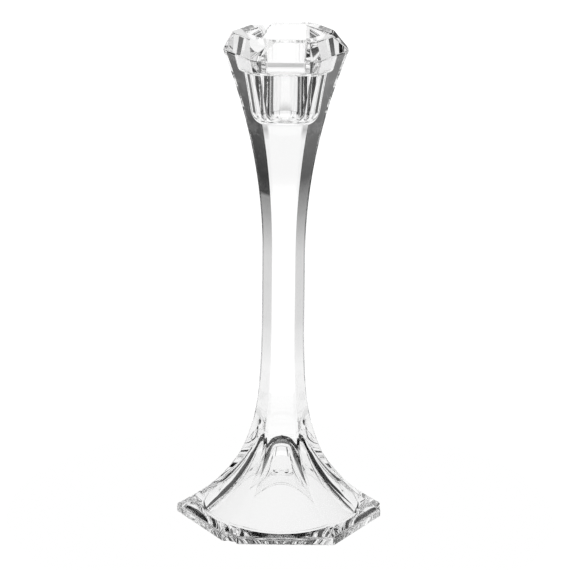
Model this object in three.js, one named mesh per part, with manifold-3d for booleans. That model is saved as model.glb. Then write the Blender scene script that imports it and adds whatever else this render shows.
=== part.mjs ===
// Clear crystal candlestick: a six-sided candle cup on a solid six-sided stem and a hollow flared foot.
// Millimetres, +Z up, the foot's flat rim on z = 0 and the candle's axis on the Z axis.
// The six wide faces look along 30, 90, 150 ... degrees, so one face looks straight along -Y and a
// corner points along +X. Three corners (0, 120, 240 degrees) are notched and three are left plain.

import * as THREE from "three";
import { mergeVertices } from "three/addons/utils/BufferGeometryUtils.js";
import Module from "manifold-3d";

const wasm = await Module();
wasm.setup();

// ---------------------------------------------------------------- driving dimensions

// overall
const totalHeight = 250;
const footJointHeight = 62;          // flat joint between foot and stem
const jointGap = 0.3;                // clearance kept between two sections that touch

// radii of the sharp corners that the six wide faces would meet in
const stemCornerRadius = 11.1;
const crownCornerRadius = 32;        // widest level of the cup
const plateCornerRadius = 53.4;      // bottom plate of the foot

// how the stem opens out above and below
const crownFlareHeight = 104;        // the cup's parabola starts this far below the widest level
const footFlareHeight = 96;          // the foot's flare starts this far above the plate
const footFlareDecay = 22;           // height over which that flare shrinks to a third or so

// cup
const crownBevelHeight = 8.5;        // widest level up to the rim
const crownBevelReach = 4.6;         // the same bevel, inward at a corner
const rimLandWidth = 6.3;            // flat rim, measured square to a face
const bowlDepth = 16.6;              // six-sided drip bowl above the candle socket
const bowlTaper = 1.6;               // each bowl wall leans in this much over its depth
const bowlLedge = 1;                 // least flat ledge between a bowl wall and the socket
const bowlEdgeWidth = 0.8;           // narrow faces down the bowl's corners
const candleDiameter = 22;
const candleClearance = 0.35;        // all round the candle
const socketDepth = 26.4;            // below the bowl's floor
const socketFilletRadius = 6;        // between the socket's wall and its floor
const cupFloorThickness = 9;         // solid glass between the socket and the stem joint

// narrow faces that run down the corners
const stemEdgeWidth = 1.5;
const crownEdgeWidth = 4.3;
const plateEdgeWidth = 1.2;          // the plate's plain corners
const plateCutWidth = 10;            // the plate's notched corners
const plateCutSpread = 1.6;          // power by which that cut widens towards the plate

// notches in the rim, one at every second corner
const notchCount = 3;
const rimNotchRise = 4.3;            // its floor climbs this much from the outside to the bowl
const rimNotchFloorWidth = 4.3;      // at the outside; the floor narrows to nothing at the bowl
const rimNotchOuterSpread = 7;       // each side opens this much over rimNotchShoulder, outside
const rimNotchInnerSpread = 2.3;     // the same at the bowl
const rimNotchShoulder = 4;          // the height over which those spreads are measured
const rimNotchSteps = 8;             // flats up each side
const rimNotchLeast = 0.1;           // the trough never closes to less than this half width
const rimNotchLeastSpread = 0.3;     // nor do its sides open by less than this
const rimNotchRoundness = 1.8;       // power that rounds the sides over towards the rim

// foot
const plateThickness = 3.9;
const footRimWidth = 9.75;           // flat ring that the candlestick stands on
const footCapThickness = 20;         // solid glass between the hollow and the stem joint
const plateNotchWidth = 8;
const plateNotchFloorWidth = 5;
const plateNotchDepth = 1.8;

// faceting and colour
const faceCount = 6;
const roundSegments = 48;
const flareSteps = 18;
const filletSteps = 6;
const glassColour = 0xf2f6f5;
const glassRoughness = 0.03;
const glassMetalness = 0;

// ---------------------------------------------------------------- places that follow from them

const halfFaceAngle = Math.PI / faceCount;
const faceDistance = (cornerRadius) => cornerRadius * Math.cos(halfFaceAngle);
const cornerDistance = (apothem) => apothem / Math.cos(halfFaceAngle);

const crownHeight = totalHeight - crownBevelHeight;
const bowlFloorHeight = totalHeight - bowlDepth;
const socketFloorHeight = bowlFloorHeight - socketDepth;
const cupJointHeight = socketFloorHeight - cupFloorThickness;
const hollowHeight = footJointHeight - footCapThickness;

const rimCornerRadius = crownCornerRadius - crownBevelReach;
const socketRadius = candleDiameter / 2 + candleClearance;
const bowlFloorRadius = cornerDistance(
  Math.max(
    faceDistance(rimCornerRadius) - rimLandWidth - bowlTaper,
    socketRadius + bowlLedge,
  ),
);
const bowlRimRadius = cornerDistance(faceDistance(bowlFloorRadius) + bowlTaper);
const hollowRadius = faceDistance(plateCornerRadius) - footRimWidth;

const cutOvershoot = 5;              // every cutting solid runs this far past the glass

// ---------------------------------------------------------------- shared shape helpers

const notchAngle = (index) => (index * 2 * Math.PI) / notchCount;

// Distance from the axis to the middle of the narrow face that mitres a corner.
function cornerReach(cornerRadius, edge) {
  return cornerRadius - (edge / 2) * Math.tan(halfFaceAngle);
}

// Six wide faces and six narrow ones: the outline at one level, anticlockwise from above.
// Even corners are the notched ones, and they may be cut back further than the plain ones.
function sectionOutline(cornerRadius, plainEdge, notchedEdge = plainEdge) {
  const points = [];
  for (let corner = 0; corner < faceCount; corner += 1) {
    const edge = corner % 2 === 0 ? notchedEdge : plainEdge;
    const angle = 2 * corner * halfFaceAngle;
    const reach = cornerReach(cornerRadius, edge);
    for (const side of [-1, 1]) {
      const along = (side * edge) / 2;
      points.push(
        new THREE.Vector2(
          reach * Math.cos(angle) - along * Math.sin(angle),
          reach * Math.sin(angle) + along * Math.cos(angle),
        ),
      );
    }
  }
  return points;
}

// A closed solid through a stack of outlines that all have the same number of points.
// Each level is { z, outline }, from the bottom up, and both ends are closed flat.
function stackSolid(levels) {
  const count = levels[0].outline.length;
  const positions = [];
  for (const level of levels) {
    for (const point of level.outline) positions.push(point.x, point.y, level.z);
  }
  const indices = [];
  for (let row = 0; row + 1 < levels.length; row += 1) {
    for (let i = 0; i < count; i += 1) {
      const next = (i + 1) % count;
      const a = row * count + i;
      const b = row * count + next;
      const c = a + count;
      const d = b + count;
      indices.push(a, b, d, a, d, c);
    }
  }
  const top = (levels.length - 1) * count;
  for (const [p, q, r] of THREE.ShapeUtils.triangulateShape(levels[0].outline, [])) {
    indices.push(p, r, q);
  }
  for (const [p, q, r] of THREE.ShapeUtils.triangulateShape(levels.at(-1).outline, [])) {
    indices.push(top + p, top + q, top + r);
  }
  const geometry = new THREE.BufferGeometry();
  geometry.setAttribute("position", new THREE.Float32BufferAttribute(positions, 3));
  geometry.setIndex(indices);
  return geometry;
}

// three.js geometry -> manifold solid
function toSolid(geometry) {
  const bare = geometry.clone();
  bare.deleteAttribute("normal");
  bare.deleteAttribute("uv");
  const merged = mergeVertices(bare, 1e-4);
  return new wasm.Manifold(
    new wasm.Mesh({
      numProp: 3,
      vertProperties: new Float32Array(merged.attributes.position.array),
      triVerts: new Uint32Array(merged.index.array),
    }),
  );
}

// manifold solid -> three.js geometry
function toGeometry(solid) {
  const mesh = solid.getMesh();
  const positions = new Float32Array((mesh.vertProperties.length / mesh.numProp) * 3);
  for (let i = 0; i < positions.length / 3; i += 1) {
    for (let axis = 0; axis < 3; axis += 1) {
      positions[3 * i + axis] = mesh.vertProperties[mesh.numProp * i + axis];
    }
  }
  const geometry = new THREE.BufferGeometry();
  geometry.setAttribute("position", new THREE.BufferAttribute(positions, 3));
  geometry.setIndex(new THREE.BufferAttribute(new Uint32Array(mesh.triVerts), 1));
  geometry.computeVertexNormals();
  return geometry;
}

// A solid of revolution from (radius, height) points that start and end on the axis.
function turnedSolid(points, segments) {
  const lathe = new THREE.LatheGeometry(points, segments);
  lathe.rotateX(Math.PI / 2);
  return toSolid(lathe);
}

function glassMesh(name, solid) {
  const material = new THREE.MeshStandardMaterial({
    color: glassColour,
    roughness: glassRoughness,
    metalness: glassMetalness,
  });
  const mesh = new THREE.Mesh(toGeometry(solid), material);
  mesh.name = name;
  return mesh;
}

// ---------------------------------------------------------------- outer form

// Corner radius of the outside at a height. The stem is straight; the cup opens as a parabola
// and the foot as a flare that dies away up the stem.
function outerRadius(z) {
  const crownFlare = Math.max(0, 1 - (crownHeight - z) / crownFlareHeight);
  const above = plateThickness + footFlareHeight - z;
  const drop = Math.max(0, z - plateThickness);
  const footFlare =
    above > 0 ? Math.exp(-drop / footFlareDecay) * (1 - (drop / footFlareHeight) ** 2) : 0;
  return (
    stemCornerRadius +
    (crownCornerRadius - stemCornerRadius) * crownFlare ** 2 +
    (plateCornerRadius - stemCornerRadius) * footFlare
  );
}

// Widths of the two kinds of narrow face at a height: they grow with the section.
function edgeWidths(z) {
  const radius = outerRadius(z);
  if (z > (crownHeight + plateThickness) / 2) {
    const share = (radius - stemCornerRadius) / (crownCornerRadius - stemCornerRadius);
    const width = stemEdgeWidth + (crownEdgeWidth - stemEdgeWidth) * share;
    return [width, width];
  }
  const share = (radius - stemCornerRadius) / (plateCornerRadius - stemCornerRadius);
  const plain = stemEdgeWidth + (plateEdgeWidth - stemEdgeWidth) * share;
  const cut = stemEdgeWidth + (plateCutWidth - stemEdgeWidth) * share ** plateCutSpread;
  return [plain, cut];
}

function outerLevel(z) {
  return { z, outline: sectionOutline(outerRadius(z), ...edgeWidths(z)) };
}

// Evenly spread levels from one height to another, both included.
function outerLevels(from, to, steps) {
  return Array.from({ length: steps + 1 }, (_, i) => outerLevel(from + ((to - from) * i) / steps));
}

// ---------------------------------------------------------------- foot

// Pressed glass foot: the flared skirt, its flat plate and the bell-shaped hollow underneath.
function buildFoot() {
  const top = footJointHeight - jointGap / 2;
  const plate = { z: 0, outline: outerLevel(plateThickness).outline };
  const body = toSolid(stackSolid([plate, ...outerLevels(plateThickness, top, flareSteps)]));

  // the hollow's outline, from its mouth to its crown, as shares of its radius and height
  const bellShares = [
    [1, 0],
    [0.82, 0.155],
    [0.625, 0.345],
    [0.44, 0.57],
    [0.28, 0.81],
    [0.151, 0.955],
    [0, 1],
  ];
  const bell = new THREE.SplineCurve(
    bellShares.map(([out, up]) => new THREE.Vector2(out * hollowRadius, up * hollowHeight)),
  );
  const outline = bell.getPoints(flareSteps).slice(0, -1);
  const hollow = turnedSolid(
    [
      new THREE.Vector2(0, -cutOvershoot),
      new THREE.Vector2(hollowRadius, -cutOvershoot),
      ...outline,
      new THREE.Vector2(0, hollowHeight),
    ],
    roundSegments,
  );

  // a shallow notch down the plate's edge at each cut corner
  const reach = cornerReach(plateCornerRadius, plateCutWidth);
  let foot = body.subtract(hollow);
  for (let i = 0; i < notchCount; i += 1) {
    const shape = new THREE.Shape([
      new THREE.Vector2(reach - plateNotchDepth, -plateNotchFloorWidth / 2),
      new THREE.Vector2(reach + cutOvershoot, -plateNotchWidth),
      new THREE.Vector2(reach + cutOvershoot, plateNotchWidth),
      new THREE.Vector2(reach - plateNotchDepth, plateNotchFloorWidth / 2),
    ]);
    const notch = new THREE.ExtrudeGeometry(shape, { depth: footJointHeight, bevelEnabled: false });
    notch.translate(0, 0, -cutOvershoot);
    notch.rotateZ(notchAngle(i));
    foot = foot.subtract(toSolid(notch));
  }
  return foot;
}

// ---------------------------------------------------------------- stem

// Solid six-sided stem, from the foot's joint to the cup's.
function buildStem() {
  const bottom = footJointHeight + jointGap / 2;
  const top = cupJointHeight - jointGap / 2;
  return toSolid(stackSolid(outerLevels(bottom, top, flareSteps)));
}

// ---------------------------------------------------------------- candle cup

// One rim notch: a trough whose floor climbs towards the axis, with sides that open outward.
function rimNotch(angle) {
  const outside = crownCornerRadius - (crownEdgeWidth / 2) * Math.tan(halfFaceAngle);
  const inside = bowlRimRadius;
  const tallest = rimNotchRise + crownBevelHeight + cutOvershoot;
  const heights = Array.from({ length: rimNotchSteps + 1 }, (_, i) => tallest * (i / rimNotchSteps) ** 2);
  const troughAt = (radius) => {
    const share = (radius - inside) / (outside - inside);
    const floorHeight = crownHeight + rimNotchRise * (1 - share);
    const halfFloor = Math.max(rimNotchLeast, (rimNotchFloorWidth / 2) * share);
    const spread = rimNotchInnerSpread + (rimNotchOuterSpread - rimNotchInnerSpread) * share;
    const side = heights.map(
      (h) =>
        new THREE.Vector2(
          halfFloor + Math.max(rimNotchLeastSpread, spread) * (h / rimNotchShoulder) ** rimNotchRoundness,
          floorHeight + h,
        ),
    );
    const mirrored = side.map((point) => new THREE.Vector2(-point.x, point.y)).reverse();
    return { z: radius, outline: [...side, ...mirrored] };
  };
  const trough = stackSolid([
    troughAt(inside - cutOvershoot),
    troughAt(inside),
    troughAt(outside + cutOvershoot),
  ]);
  const radial = new THREE.Vector3(Math.cos(angle), Math.sin(angle), 0);
  const tangent = new THREE.Vector3(-Math.sin(angle), Math.cos(angle), 0);
  const up = new THREE.Vector3(0, 0, 1);
  trough.applyMatrix4(new THREE.Matrix4().makeBasis(tangent, up, radial));
  return toSolid(trough);
}

// Cup: flared six-sided outside, bevelled and notched rim, drip bowl, and the candle's socket.
function buildCup() {
  const bottom = cupJointHeight + jointGap / 2;
  const rim = {
    z: totalHeight,
    outline: sectionOutline(rimCornerRadius, crownEdgeWidth),
  };
  const body = toSolid(stackSolid([...outerLevels(bottom, crownHeight, flareSteps), rim]));

  const bowlSlope = (bowlRimRadius - bowlFloorRadius) / bowlDepth;
  const bowl = stackSolid([
    { z: bowlFloorHeight, outline: sectionOutline(bowlFloorRadius, bowlEdgeWidth) },
    {
      z: totalHeight + cutOvershoot,
      outline: sectionOutline(bowlRimRadius + bowlSlope * cutOvershoot, bowlEdgeWidth),
    },
  ]);

  const filletCentre = new THREE.Vector2(
    socketRadius - socketFilletRadius,
    socketFloorHeight + socketFilletRadius,
  );
  const fillet = Array.from({ length: filletSteps + 1 }, (_, i) => {
    const turn = -Math.PI / 2 + ((Math.PI / 2) * i) / filletSteps;
    return new THREE.Vector2(
      filletCentre.x + socketFilletRadius * Math.cos(turn),
      filletCentre.y + socketFilletRadius * Math.sin(turn),
    );
  });
  const socket = turnedSolid(
    [
      new THREE.Vector2(0, socketFloorHeight),
      ...fillet,
      new THREE.Vector2(socketRadius, bowlFloorHeight + cutOvershoot),
      new THREE.Vector2(0, bowlFloorHeight + cutOvershoot),
    ],
    roundSegments,
  );

  let cup = body.subtract(toSolid(bowl)).subtract(socket);
  for (let i = 0; i < notchCount; i += 1) cup = cup.subtract(rimNotch(notchAngle(i)));
  return cup;
}

// ---------------------------------------------------------------- assembly

const candlestick = new THREE.Group();
candlestick.add(
  glassMesh("foot", buildFoot()),
  glassMesh("stem", buildStem()),
  glassMesh("candle_cup", buildCup()),
);

export default candlestick;
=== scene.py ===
import math
import bpy
from mathutils import Matrix, Vector


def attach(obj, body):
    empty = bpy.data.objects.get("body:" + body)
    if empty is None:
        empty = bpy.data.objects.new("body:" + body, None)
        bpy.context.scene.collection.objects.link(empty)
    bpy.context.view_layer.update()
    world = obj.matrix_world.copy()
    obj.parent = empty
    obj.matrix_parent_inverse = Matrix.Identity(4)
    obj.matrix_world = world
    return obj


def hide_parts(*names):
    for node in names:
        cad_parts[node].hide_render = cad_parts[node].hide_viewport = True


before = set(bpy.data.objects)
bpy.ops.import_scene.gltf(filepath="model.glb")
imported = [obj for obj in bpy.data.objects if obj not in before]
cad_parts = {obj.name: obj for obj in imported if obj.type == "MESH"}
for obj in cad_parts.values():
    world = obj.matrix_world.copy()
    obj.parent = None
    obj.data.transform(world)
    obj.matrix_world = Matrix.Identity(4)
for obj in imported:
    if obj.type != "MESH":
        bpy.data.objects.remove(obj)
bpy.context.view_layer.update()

# ---------------------------------------------------------------- foot
# The spreading hollow foot is clear lead-free crystal, pressed in one go with the stem and the cup.
# It stands on a flat ring round the mouth of a bell-shaped hollow, left by the press's plunger.
# Three of its six corners are cut back and notched, where the leaves of the mould part.

MM = 0.001
SIDES = 6
HALF_FACE = math.pi / SIDES
ARC_STEPS = 5                # flats round each softened corner
STEM_RADIUS = 11.1           # corner radii are to the sharp corner that two wide faces would meet in
STEM_EDGE = 1.5              # width of the narrow face down a corner
STEM_ROUND = 2.3
PLATE_RADIUS = 53.4
PLATE_THICKNESS = 3.9
PLATE_LAND = 2.5             # outer strip of the underside, inside the softened lower edge
PLATE_EDGE = 1.2
PLATE_ROUND = 0.5
PLATE_TOP_SOFTNESS = 0.8
PLATE_UNDER_SOFTNESS = 0.6
PLATE_CUT = 10.0
PLATE_CUT_SPREAD = 1.6
FOOT_TOP = 62.0              # where the foot hands over to the stem, inside the clear glass
FOOT_FLARE = 96.0
FOOT_DECAY = 22.0
LEVEL_STEP = 1.0


def section(radius, plain, cut, rounding):
    """Outline of one level: six wide faces, six narrow ones, and a small arc at every turn."""
    outline = []
    for corner in range(SIDES):
        edge = cut if corner % 2 == 0 else plain
        middle = 2 * corner * HALF_FACE
        reach = radius - edge / 2 * math.tan(HALF_FACE)
        tangent = min(rounding * math.tan(HALF_FACE / 2), edge * 0.49)
        bend = tangent / math.tan(HALF_FACE / 2)
        for side in (-1, 1):
            x = reach * math.cos(middle) - side * edge / 2 * math.sin(middle)
            y = reach * math.sin(middle) + side * edge / 2 * math.cos(middle)
            mean = middle + side * HALF_FACE / 2
            cx = x - bend / math.cos(HALF_FACE / 2) * math.cos(mean)
            cy = y - bend / math.cos(HALF_FACE / 2) * math.sin(mean)
            for i in range(ARC_STEPS + 1):
                turn = mean + HALF_FACE * (i / ARC_STEPS - 0.5)
                outline.append((cx + bend * math.cos(turn), cy + bend * math.sin(turn)))
    return outline


def foot_level(z):
    """Height, corner radius, plain and cut corner widths, and corner rounding up the foot's flare."""
    drop = max(0.0, z - PLATE_THICKNESS)
    share = math.exp(-drop / FOOT_DECAY) * (1 - (drop / FOOT_FLARE) ** 2) if drop < FOOT_FLARE else 0.0
    plain = STEM_EDGE + (PLATE_EDGE - STEM_EDGE) * share
    cut = STEM_EDGE + (PLATE_CUT - STEM_EDGE) * share ** PLATE_CUT_SPREAD
    rounding = STEM_ROUND + (PLATE_ROUND - STEM_ROUND) * min(1.0, 2.0 * share)
    return (z, STEM_RADIUS + (PLATE_RADIUS - STEM_RADIUS) * share, plain, cut, rounding)


def soften(levels, index, reach, steps=5):
    """Rounds the turn at one level: the profile leaves it that far before and meets it that far after."""
    here = Vector(levels[index])

    def toward(other):
        step = Vector(other) - here
        return here + step * min(1.0, reach / math.hypot(step[0], step[1]))

    first, last = toward(levels[index - 1]), toward(levels[index + 1])
    curve = []
    for i in range(steps + 1):
        t = i / steps
        curve.append(tuple(first * (1 - t) ** 2 + here * 2 * t * (1 - t) + last * t ** 2))
    return levels[:index] + curve + levels[index + 1:]


def stacked(name, rings):
    """A closed solid through rings of (x, y, z) with equal counts, bottom to top, flat at both ends."""
    count = len(rings[0])
    points = [Vector(p) * MM for ring in rings for p in ring]
    faces = [tuple(reversed(range(count)))]
    for row in range(len(rings) - 1):
        for i in range(count):
            a, b = row * count + i, row * count + (i + 1) % count
            faces.append((a, b, b + count, a + count))
    top = (len(rings) - 1) * count
    faces.append(tuple(range(top, top + count)))
    mesh = bpy.data.meshes.new(name)
    mesh.from_pydata(points, [], faces)
    mesh.validate()
    piece = bpy.data.objects.new(name, mesh)
    bpy.context.scene.collection.objects.link(piece)
    return piece


def loft(name, levels):
    """A closed solid through levels of the six-sided outline."""
    return stacked(name, [[(x, y, z) for x, y in section(*rest)] for z, *rest in levels])


def turned(name, profile, segments=120):
    """A closed solid of revolution through (radius, height) points, bottom to top."""
    turns = [2 * math.pi * i / segments for i in range(segments)]
    return stacked(name, [[(r * math.cos(t), r * math.sin(t), z) for t in turns] for r, z in profile])


def carve(piece, tool):
    """Takes the tool's shape out of the piece, and puts the tool away."""
    cut = piece.modifiers.new("carve", "BOOLEAN")
    cut.operation = "DIFFERENCE"
    cut.solver = "MANIFOLD"
    cut.object = tool
    bpy.context.view_layer.update()
    shape = bpy.data.meshes.new_from_object(piece.evaluated_get(bpy.context.evaluated_depsgraph_get()))
    piece.modifiers.clear()
    piece.data = shape
    bpy.data.objects.remove(tool)


def heights(low, high):
    """Evenly spread heights about a level step apart, both ends included."""
    count = max(1, round((high - low) / LEVEL_STEP))
    return [low + (high - low) * i / count for i in range(count + 1)]


foot_levels = [foot_level(z) for z in heights(PLATE_THICKNESS, FOOT_TOP)]
plate_side = (0.0, *foot_levels[0][1:])
plate_under = (0.0, plate_side[1] - PLATE_LAND, *plate_side[2:])
foot_levels = [plate_under, plate_side] + foot_levels
foot_levels = soften(foot_levels, 2, PLATE_TOP_SOFTNESS)
foot_levels = soften(foot_levels, 1, PLATE_UNDER_SOFTNESS)
foot = loft("crystal_foot", foot_levels)

# the plunger's bell, from its mouth to its crown, as shares of its radius and height
HOLLOW_HEIGHT = 42.0
HOLLOW_RING = 9.75           # flat ring left round the mouth
HOLLOW_RADIUS = PLATE_RADIUS * math.cos(HALF_FACE) - HOLLOW_RING
HOLLOW_CROWN = 0.4
BELL = [(1, 0), (0.82, 0.155), (0.625, 0.345), (0.44, 0.57), (0.28, 0.81), (0.151, 0.955), (0, 1)]
BELL_STEPS = 72
MOUTH = [(0.8, -5.0), (0.6, 0.0), (0.0, 0.5)]    # softened lip: how far out, and how high


def bell_point(t):
    """A point on the smooth curve through the bell's outline, at t from 0 to 1."""
    place = t * (len(BELL) - 1)
    i = min(int(place), len(BELL) - 2)
    w = place - i
    p = [Vector(BELL[max(0, min(len(BELL) - 1, i + k))]) for k in (-1, 0, 1, 2)]
    v0, v1 = (p[2] - p[0]) / 2, (p[3] - p[1]) / 2
    cubic = p[1] * 2 - p[2] * 2 + v0 + v1
    square = p[2] * 3 - p[1] * 3 - v0 * 2 - v1
    return cubic * w ** 3 + square * w ** 2 + v0 * w + p[1]


bell = [bell_point(i / BELL_STEPS) for i in range(BELL_STEPS)]
hollow = [(HOLLOW_RADIUS + out, z) for out, z in MOUTH]
hollow += [(r * HOLLOW_RADIUS, z * HOLLOW_HEIGHT) for r, z in bell if z * HOLLOW_HEIGHT > MOUTH[-1][1] + 0.1]
hollow.append((HOLLOW_CROWN, HOLLOW_HEIGHT))
carve(foot, turned("bell", hollow))

# a shallow dovetail out of each cut corner of the plate
NOTCH_DEPTH = 1.8
NOTCH_FLOOR_HALF = 2.5
NOTCH_MOUTH_HALF = 8.0
NOTCH_REACH = 5.0
NOTCH_HEIGHTS = (-5, 70)      # the cutter runs from below the plate to clear above it
for index in range(3):
    turn = Matrix.Rotation(2 * math.pi * index / 3, 3, "Z")
    reach = PLATE_RADIUS - PLATE_CUT / 2 * math.tan(HALF_FACE)
    corners = [
        (reach - NOTCH_DEPTH, -NOTCH_FLOOR_HALF), (reach + NOTCH_REACH, -NOTCH_MOUTH_HALF),
        (reach + NOTCH_REACH, NOTCH_MOUTH_HALF), (reach - NOTCH_DEPTH, NOTCH_FLOOR_HALF),
    ]
    rings = [[turn @ Vector((x, y, z)) for x, y in corners] for z in NOTCH_HEIGHTS]
    carve(foot, stacked("plate_notch", rings))


def linear(hex_colour):
    """An sRGB hex colour as the linear colour that the shaders work in."""
    parts = [int(hex_colour[i:i + 2], 16) / 255 for i in (1, 3, 5)]
    return (*(c / 12.92 if c <= 0.04045 else ((c + 0.055) / 1.055) ** 2.4 for c in parts), 1.0)


def add_node(tree, kind, inputs=None, **settings):
    """A node with its settings, and its inputs as plain values or as sockets to link."""
    made = tree.nodes.new(kind)
    for name, value in settings.items():
        setattr(made, name, value)
    for socket, value in (inputs or {}).items():
        if isinstance(value, bpy.types.NodeSocket):
            tree.links.new(value, made.inputs[socket])
        else:
            made.inputs[socket].default_value = value
    return made


def clear_crystal(name, texture_mm, texture_depth, fade_from, fade_to, roughest):
    """Water-clear crystal: one slow wave left by the mould, and a finer texture of its own.

    The finer texture is absent at the height fade_from and full at fade_to, both in mm.
    """
    material = bpy.data.materials.new(name)
    material.use_nodes = True
    tree = material.node_tree
    tree.nodes.clear()
    place = add_node(tree, "ShaderNodeTexCoord").outputs["Object"]
    wave = add_node(tree, "ShaderNodeTexNoise", {"Vector": place, "Scale": 1 / (WAVE_MM * MM), "Detail": 1.0})
    slow = add_node(tree, "ShaderNodeBump", {
        "Height": wave.outputs["Fac"], "Strength": WAVE_STRENGTH, "Distance": WAVE_DEPTH * MM})
    fine = add_node(tree, "ShaderNodeTexNoise", {
        "Vector": place, "Scale": 1 / (texture_mm * MM), "Detail": 2.0})
    height = add_node(tree, "ShaderNodeSeparateXYZ", {"Vector": place}).outputs["Z"]
    present = add_node(tree, "ShaderNodeMapRange", {
        "Value": height, "From Min": fade_from * MM, "From Max": fade_to * MM, "To Min": 0.0, "To Max": 1.0})
    relief = add_node(tree, "ShaderNodeMath", {
        0: fine.outputs["Fac"], 1: present.outputs["Result"]}, operation="MULTIPLY")
    texture = add_node(tree, "ShaderNodeBump", {
        "Height": relief.outputs[0], "Strength": 0.3, "Distance": texture_depth * MM,
        "Normal": slow.outputs["Normal"]})
    haze = add_node(tree, "ShaderNodeMapRange", {
        "Value": relief.outputs[0], "From Min": 0.45, "From Max": 0.75, "To Min": 0.0, "To Max": roughest})
    glass = add_node(tree, "ShaderNodeBsdfPrincipled", {
        "Base Color": linear("#FEFEFE"), "Roughness": haze.outputs["Result"], "IOR": 1.52,
        "Transmission Weight": 1.0, "Normal": texture.outputs["Normal"]})
    add_node(tree, "ShaderNodeOutputMaterial", {"Surface": glass.outputs["BSDF"]})
    return material


# Joint faces lie inside solid glass, so they are clear through and through and bend no light.
inside = bpy.data.materials.new("joint_inside_the_glass")
inside.use_nodes = True
inside.node_tree.nodes.clear()
unseen = add_node(inside.node_tree, "ShaderNodeBsdfPrincipled", {"Alpha": 0.0})
add_node(inside.node_tree, "ShaderNodeOutputMaterial", {"Surface": unseen.outputs["BSDF"]})
SHARP_TURN = 28              # degrees: flats that meet more steeply keep a crisp edge
LEVEL_SLACK = 1e-4           # mm: corners of a joint face lie on one level to within this
JOINT_SLACK = 1e-3           # mm: and that level is the joint's to within this


def finish_glass(piece, material, joints, node):
    """Dresses a piece: its glass, unseen faces at its joint heights, crisp edges, and its CAD solid."""
    mesh = piece.data
    mesh.materials.clear()
    mesh.materials.append(material)
    mesh.materials.append(inside)
    mesh.shade_smooth()
    mesh.set_sharp_from_angle(angle=math.radians(SHARP_TURN))
    for face in mesh.polygons:
        levels = [mesh.vertices[v].co.z / MM for v in face.vertices]
        flat = max(levels) - min(levels) < LEVEL_SLACK
        hidden = flat and any(abs(levels[0] - j) < JOINT_SLACK for j in joints)
        face.material_index = 1 if hidden else 0
    weigh = piece.modifiers.new("weigh", "WEIGHTED_NORMAL")
    weigh.mode = "FACE_AREA"
    weigh.weight = 50
    weigh.keep_sharp = True
    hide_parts(node)
    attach(piece, "root")


# Pressed lead-free crystal, fire-polished: the mould's chill leaves a slow wave some 17 mm long and,
# low on the foot, a faint orange-peel 4 mm across, so the edges seen through it waver slightly.
WAVE_MM = 16.7
WAVE_DEPTH = 0.2
WAVE_STRENGTH = 0.3
pressed = clear_crystal("pressed_crystal_fire_polished", 4.0, 0.012, 52, 12, 0.006)
finish_glass(foot, pressed, [FOOT_TOP], "foot")

# ---------------------------------------------------------------- stem
# The slender six-sided stem swells into the foot below and the cup above without a break.
# It is the same pressing, and the flame that polishes it melts its corners round.

STEM_TOP = 198.0             # where the stem hands over to the cup, inside the clear glass
STEM_MIDDLE = 120.0          # between the two flares
CROWN_RADIUS = 32.0
CROWN_HEIGHT = 241.5
CROWN_FLARE = 104.0
CROWN_EDGE = 4.3
CROWN_ROUND = 0.5


def cup_level(z):
    """Height, corner radius, corner widths and corner rounding up the cup's parabola."""
    share = max(0.0, 1 - (CROWN_HEIGHT - z) / CROWN_FLARE) ** 2
    edge = STEM_EDGE + (CROWN_EDGE - STEM_EDGE) * share
    rounding = STEM_ROUND + (CROWN_ROUND - STEM_ROUND) * min(1.0, 2.5 * share)
    return (z, STEM_RADIUS + (CROWN_RADIUS - STEM_RADIUS) * share, edge, edge, rounding)


stem = loft("crystal_stem", [
    foot_level(z) if z < STEM_MIDDLE else cup_level(z) for z in heights(FOOT_TOP, STEM_TOP)])

# Fire-polished and glossier than the foot. A ripple 6 mm long lies on its lower end and fades out
# between 100 and 120 mm, so that light climbs the rest in long unbroken streaks.
polished = clear_crystal("stem_crystal_flame_smoothed", 6.0, 0.006, 120, 100, 0.003)
finish_glass(stem, polished, [FOOT_TOP, STEM_TOP], "stem")

# ---------------------------------------------------------------- candle cup
# The cup opens into a six-sided bowl with a bevelled rim, round a well that holds a table candle.
# Three V-shaped troughs through the rim leave three petals, and drain away melted wax.
# It is pressed with the rest, and its rim is ground and polished last.

TOTAL_HEIGHT = 250.0
RIM_RADIUS = CROWN_RADIUS - 4.6
RIM_SOFTNESS = 0.6
RIM_STRIP = 3.0              # outer strip of the flat rim, inside its softened edge
CROWN_SOFTNESS = 0.7
RIM_LAND = 6.3               # flat top of the rim
BOWL_DEPTH = 16.6
BOWL_TAPER = 1.6
BOWL_EDGE = 0.8
BOWL_ROUND = 0.6
BOWL_FLOOR_SOFTNESS = 2.0
MOUTH_EASE = 0.5             # the bowl and the well start to open out this far below their mouths
BOWL_FLOOR = TOTAL_HEIGHT - BOWL_DEPTH
BOWL_RADIUS = (RIM_RADIUS * math.cos(HALF_FACE) - RIM_LAND) / math.cos(HALF_FACE)
BOWL_FLOOR_RADIUS = (BOWL_RADIUS * math.cos(HALF_FACE) - BOWL_TAPER) / math.cos(HALF_FACE)
SOCKET_RADIUS = 11.35        # a 22 mm candle and its clearance
SOCKET_FLOOR = BOWL_FLOOR - 26.4
SOCKET_FILLET = 6.0
SOCKET_CENTRE = 0.2          # least radius of the well's floor
FILLET_STEPS = 8

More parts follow.
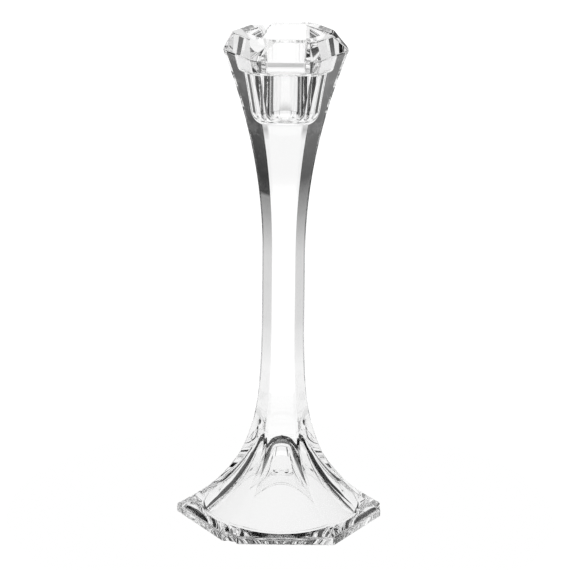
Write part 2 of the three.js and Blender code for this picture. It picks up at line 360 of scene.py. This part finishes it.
cup_levels = [cup_level(z) for z in heights(STEM_TOP, CROWN_HEIGHT)]
crown_at = len(cup_levels) - 1
cup_levels.append((TOTAL_HEIGHT, RIM_RADIUS, CROWN_EDGE, CROWN_EDGE, CROWN_ROUND))
cup_levels.append((TOTAL_HEIGHT, RIM_RADIUS - RIM_STRIP, CROWN_EDGE, CROWN_EDGE, CROWN_ROUND))
cup_levels = soften(cup_levels, crown_at + 1, RIM_SOFTNESS)
cup_levels = soften(cup_levels, crown_at, CROWN_SOFTNESS)
cup = loft("crystal_cup", cup_levels)

slope = (BOWL_RADIUS - BOWL_FLOOR_RADIUS) / BOWL_DEPTH
bowl_corner = (BOWL_EDGE, BOWL_EDGE, BOWL_ROUND)
bowl_levels = [
    (BOWL_FLOOR, BOWL_FLOOR_RADIUS - BOWL_FLOOR_SOFTNESS * 2, *bowl_corner),
    (BOWL_FLOOR, BOWL_FLOOR_RADIUS, *bowl_corner),
    (TOTAL_HEIGHT - MOUTH_EASE, BOWL_RADIUS - slope * MOUTH_EASE, *bowl_corner),
    (TOTAL_HEIGHT, BOWL_RADIUS + 0.15, *bowl_corner),
    (TOTAL_HEIGHT + 0.4, BOWL_RADIUS + 0.9, *bowl_corner),
    (TOTAL_HEIGHT + 5, BOWL_RADIUS + 1.5, *bowl_corner),
]
carve(cup, loft("bowl", soften(bowl_levels, 1, BOWL_FLOOR_SOFTNESS)))

well = [(SOCKET_CENTRE, SOCKET_FLOOR)]
for i in range(FILLET_STEPS + 1):
    turn = math.pi / 2 * i / FILLET_STEPS
    well.append((SOCKET_RADIUS - SOCKET_FILLET * (1 - math.sin(turn)),
                 SOCKET_FLOOR + SOCKET_FILLET * (1 - math.cos(turn))))
well += [(SOCKET_RADIUS, BOWL_FLOOR - MOUTH_EASE), (SOCKET_RADIUS + 0.15, BOWL_FLOOR),
         (SOCKET_RADIUS + 0.9, BOWL_FLOOR + 0.4), (SOCKET_RADIUS + 0.9, BOWL_FLOOR + 2)]
carve(cup, turned("well", well))

# each trough is narrow and high at the bowl, and wide and low at the outside
TROUGH_RISE = 4.3
TROUGH_FLOOR = 4.3
TROUGH_OUTER = 7.0
TROUGH_INNER = 2.3
TROUGH_SHOULDER = 4.0
TROUGH_POWER = 1.8
TROUGH_STEPS = 24
TROUGH_BUNCHING = 1.5        # power by which the steps crowd towards the floor
TROUGH_OVERRUN = 5.0
TROUGH_TIP = 0.1             # least half width, where it runs out at the bowl
TROUGH_LEAST_SPREAD = 0.3
outside = CROWN_RADIUS - CROWN_EDGE / 2 * math.tan(HALF_FACE)
tallest = TROUGH_RISE + TOTAL_HEIGHT - CROWN_HEIGHT + TROUGH_OVERRUN
for index in range(3):
    angle = 2 * math.pi * index / 3
    rings = []
    for radius in (BOWL_RADIUS - TROUGH_OVERRUN, BOWL_RADIUS, outside + TROUGH_OVERRUN):
        share = (radius - BOWL_RADIUS) / (outside - BOWL_RADIUS)
        floor_height = CROWN_HEIGHT + TROUGH_RISE * (1 - share)
        half = max(TROUGH_TIP, TROUGH_FLOOR / 2 * share)
        opening = max(TROUGH_LEAST_SPREAD, TROUGH_INNER + (TROUGH_OUTER - TROUGH_INNER) * share)
        flank = []
        for i in range(TROUGH_STEPS + 1):
            h = tallest * (i / TROUGH_STEPS) ** TROUGH_BUNCHING
            flank.append((half + opening * (h / TROUGH_SHOULDER) ** TROUGH_POWER, floor_height + h))
        shape = [(-x, z) for x, z in reversed(flank)] + flank
        rings.append([
            (radius * math.cos(angle) - x * math.sin(angle),
             radius * math.sin(angle) + x * math.cos(angle), z)
            for x, z in shape
        ])
    carve(cup, stacked("rim_trough", rings))

# Ground and polished on a wheel: the rim carries a fine drag 3 mm long under its gloss, so its
# highlights are bright with a slightly broken edge, and the well below stays clear.
cut_rim = clear_crystal("cup_crystal_wheel_polished", 3.0, 0.004, 205, 238, 0.004)
finish_glass(cup, cut_rim, [STEM_TOP], "candle_cup")

# ---------------------------------------------------------------- floor
# A white light table under the candlestick, as bright as the paper around it.

FLOOR_RADIUS = 0.14
bpy.ops.mesh.primitive_circle_add(
    vertices=128, radius=FLOOR_RADIUS, fill_type="NGON", location=(0, 0, -0.2 * MM))
floor = bpy.context.object
floor.name = "studio_floor"
table = bpy.data.materials.new("white_light_table")
table.use_nodes = True
table.node_tree.nodes.clear()
shine = add_node(table.node_tree, "ShaderNodeEmission", {"Color": linear("#FFFFFF"), "Strength": 1.0})
add_node(table.node_tree, "ShaderNodeOutputMaterial", {"Surface": shine.outputs["Emission"]})
floor.data.materials.append(table)

# ---------------------------------------------------------------- studio
# Clear glass is only seen by what it bends into view: lit paper behind and under it, dark all round.
# A ray that meets no glass sees plain white. Each card is a run of soft edges, multiplied, and each
# edge is (measured along, from, to, light before, light after). Turns and bearings are in degrees
# from the line that runs from front to back, and heights in degrees above the horizon.

CARDS = {
    "table_right": [("height", -22, -7.4, 1, 0.28), ("height", -6.9, -6.4, 1, 0),
                    ("bearing", 0, 1, 0, 1), ("turn", 48, 58, 1, 0.1)],
    "table_left": [("height", -22, -4, 1, 0.08), ("bearing", 0, 1, 1, 0), ("turn", 48, 58, 1, 0.1)],
    "table_near": [("height", -45, -32, 1, 0)],
    "sweep": [("bearing", -27, -23, 0, 1), ("bearing", 22, 26, 1, 0), ("height", -9, -7, 1.12, 0.97),
              ("height", 0, 3, 1, 0)],
    "back_paper": [("bearing", -36, -32, 0, 1), ("bearing", 30, 34, 1, 0), ("height", 0, 3, 0, 1),
                   ("height", 14, 19, 1, 0)],
    "side_papers": [("turn", 78, 81, 0, 0.7), ("height", 16, 22, 1, 0)],
}
world = bpy.data.worlds.new("studio")
bpy.context.scene.world = world
world.use_nodes = True
tree = world.node_tree
tree.nodes.clear()
way = add_node(tree, "ShaderNodeTexCoord").outputs["Generated"]
split = add_node(tree, "ShaderNodeSeparateXYZ", {"Vector": way})
arc = add_node(tree, "ShaderNodeMath", {0: split.outputs["X"], 1: split.outputs["Y"]}, operation="ARCTAN2")
rise = add_node(tree, "ShaderNodeMath", {0: split.outputs["Z"]}, operation="ARCSINE")
bearing = add_node(tree, "ShaderNodeMath", {0: arc.outputs[0]}, operation="DEGREES")
# the same papers stand in front as behind, so the glass is as clear from the back
turn = add_node(tree, "ShaderNodeMath", {0: bearing.outputs[0]}, operation="ABSOLUTE")
rest = add_node(tree, "ShaderNodeMath", {0: 180.0, 1: turn.outputs[0]}, operation="SUBTRACT")
near_axis = add_node(tree, "ShaderNodeMath", {0: turn.outputs[0], 1: rest.outputs[0]}, operation="MINIMUM")
side = add_node(tree, "ShaderNodeMath", {0: bearing.outputs[0]}, operation="SIGN")
along = {
    "bearing": add_node(tree, "ShaderNodeMath", {
        0: near_axis.outputs[0], 1: side.outputs[0]}, operation="MULTIPLY").outputs[0],
    "turn": near_axis.outputs[0],
    "height": add_node(tree, "ShaderNodeMath", {0: rise.outputs[0]}, operation="DEGREES").outputs[0],
}
light = add_node(tree, "ShaderNodeLightPath").outputs["Is Camera Ray"]
for edges in CARDS.values():
    card = None
    for measure, start, end, before, after in edges:
        soft = add_node(tree, "ShaderNodeMapRange", {
            "Value": along[measure], "From Min": start, "From Max": end, "To Min": before, "To Max": after,
        }).outputs["Result"]
        card = soft if card is None else add_node(
            tree, "ShaderNodeMath", {0: card, 1: soft}, operation="MULTIPLY").outputs[0]
    light = add_node(tree, "ShaderNodeMath", {0: light, 1: card}, operation="MAXIMUM").outputs[0]
sky = add_node(tree, "ShaderNodeBackground", {"Color": light, "Strength": 1.0})
add_node(tree, "ShaderNodeOutputWorld", {"Surface": sky.outputs["Background"]})

# ---------------------------------------------------------------- camera
# A long lens from a little above, square to one wide face and level but for a slight lean.

CAMERA_PITCH = 16.777
CAMERA_LEAN = 0.619
CAMERA_PLACE = (0, -1.530147, 0.582353)
SENSOR = 36
LENS = 201.862
LENS_SHIFT = 0.00278
camera_data = bpy.data.cameras.new("camera")
camera = bpy.data.objects.new("camera", camera_data)
bpy.context.scene.collection.objects.link(camera)
camera_data.sensor_width = SENSOR
camera_data.lens = LENS
camera_data.shift_x = LENS_SHIFT
camera_data.clip_start = 0.01
camera_data.clip_end = 50
camera.matrix_world = (
    Matrix.Translation(CAMERA_PLACE)
    @ Matrix.Rotation(math.radians(90 - CAMERA_PITCH), 4, "X")
    @ Matrix.Rotation(math.radians(CAMERA_LEAN), 4, "Z"))
bpy.context.scene.camera = camera

# glass on glass needs long light paths, and its blacks and whites are kept as they fall
bpy.context.scene.view_settings.view_transform = "Standard"
bpy.context.scene.cycles.max_bounces = 32
bpy.context.scene.cycles.glossy_bounces = 24
bpy.context.scene.cycles.transmission_bounces = 32
bpy.context.scene.cycles.transparent_max_bounces = 32
